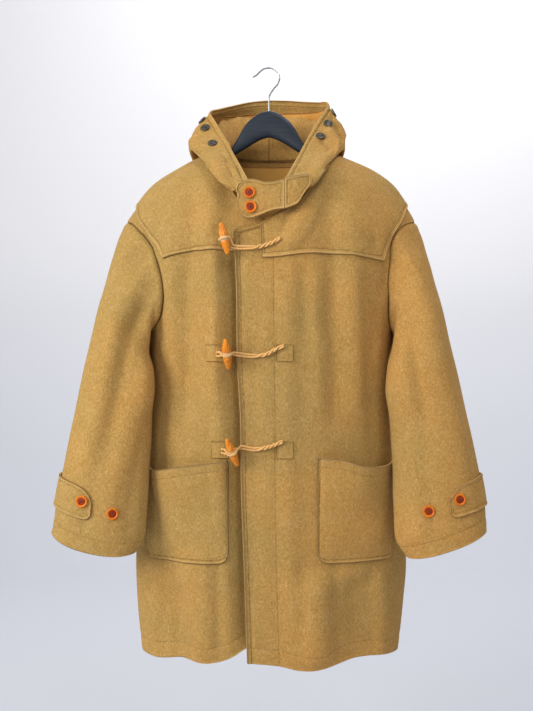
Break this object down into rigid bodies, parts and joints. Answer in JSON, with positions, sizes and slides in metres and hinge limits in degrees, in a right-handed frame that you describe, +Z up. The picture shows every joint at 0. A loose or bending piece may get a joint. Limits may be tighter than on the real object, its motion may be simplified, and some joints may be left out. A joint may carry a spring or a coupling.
{
  "type": "hooded duffle coat on a wooden coat hanger",
  "caption": "Hooded wool duffle coat with toggle and cord front, shoulder yoke, patch pockets and throat tab, hung open-necked on a shaped dark wooden hanger",
  "frame": {"origin": "inside top of the hanger's hook, where what holds it up bears", "axes": "+Z up, the coat's front faces -Y, the wearer's right is at -X"},
  "size_m": [0.7761, 0.3042, 1.1102],
  "materials": {
    "wool": "brushed camel wool with a short nap, matte",
    "lining": "gold twill lining with a slight sheen",
    "horn": "polished amber horn or resin",
    "cord": "twisted tan cord",
    "snap_metal": "dark gunmetal",
    "dark_wood": "dark navy satin lacquer",
    "steel_wire": "bright steel wire"
  },
  "bodies": {
    "root": {"front_right": "wool", "front_left": "wool", "back": "wool", "yoke_front_right": "wool", "yoke_front_left": "wool", "yoke_back": "wool", "sleeve_right": "wool", "sleeve_left": "wool", "cuff_tab_right": "wool", "cuff_tab_left": "wool", "pocket_right": "wool", "pocket_left": "wool", "hood_right": "wool", "hood_left": "wool", "throat_tab": "wool", "throat_anchor": "wool", "patch_middle_right": "wool", "patch_middle_left": "wool", "patch_bottom_right": "wool", "patch_bottom_left": "wool", "back_lining": "lining", "hood_lining_right": "lining", "hood_lining_left": "lining", "toggle_top": "horn", "toggle_middle": "horn", "toggle_bottom": "horn", "cuff_button_right_1": "horn", "cuff_button_right_2": "horn", "cuff_button_left_1": "horn", "cuff_button_left_2": "horn", "throat_button_1": "horn", "throat_button_2": "horn", "loop_top": "cord", "loop_middle": "cord", "loop_bottom": "cord", "toggle_cord_top": "cord", "toggle_cord_middle": "cord", "toggle_cord_bottom": "cord", "snap_right_1": "snap_metal", "snap_right_2": "snap_metal", "snap_right_3": "snap_metal", "snap_left_1": "snap_metal", "snap_left_2": "snap_metal", "snap_left_3": "snap_metal", "hanger_body": "dark_wood", "hanger_hook": "steel_wire"}
  },
  "joints": []
}
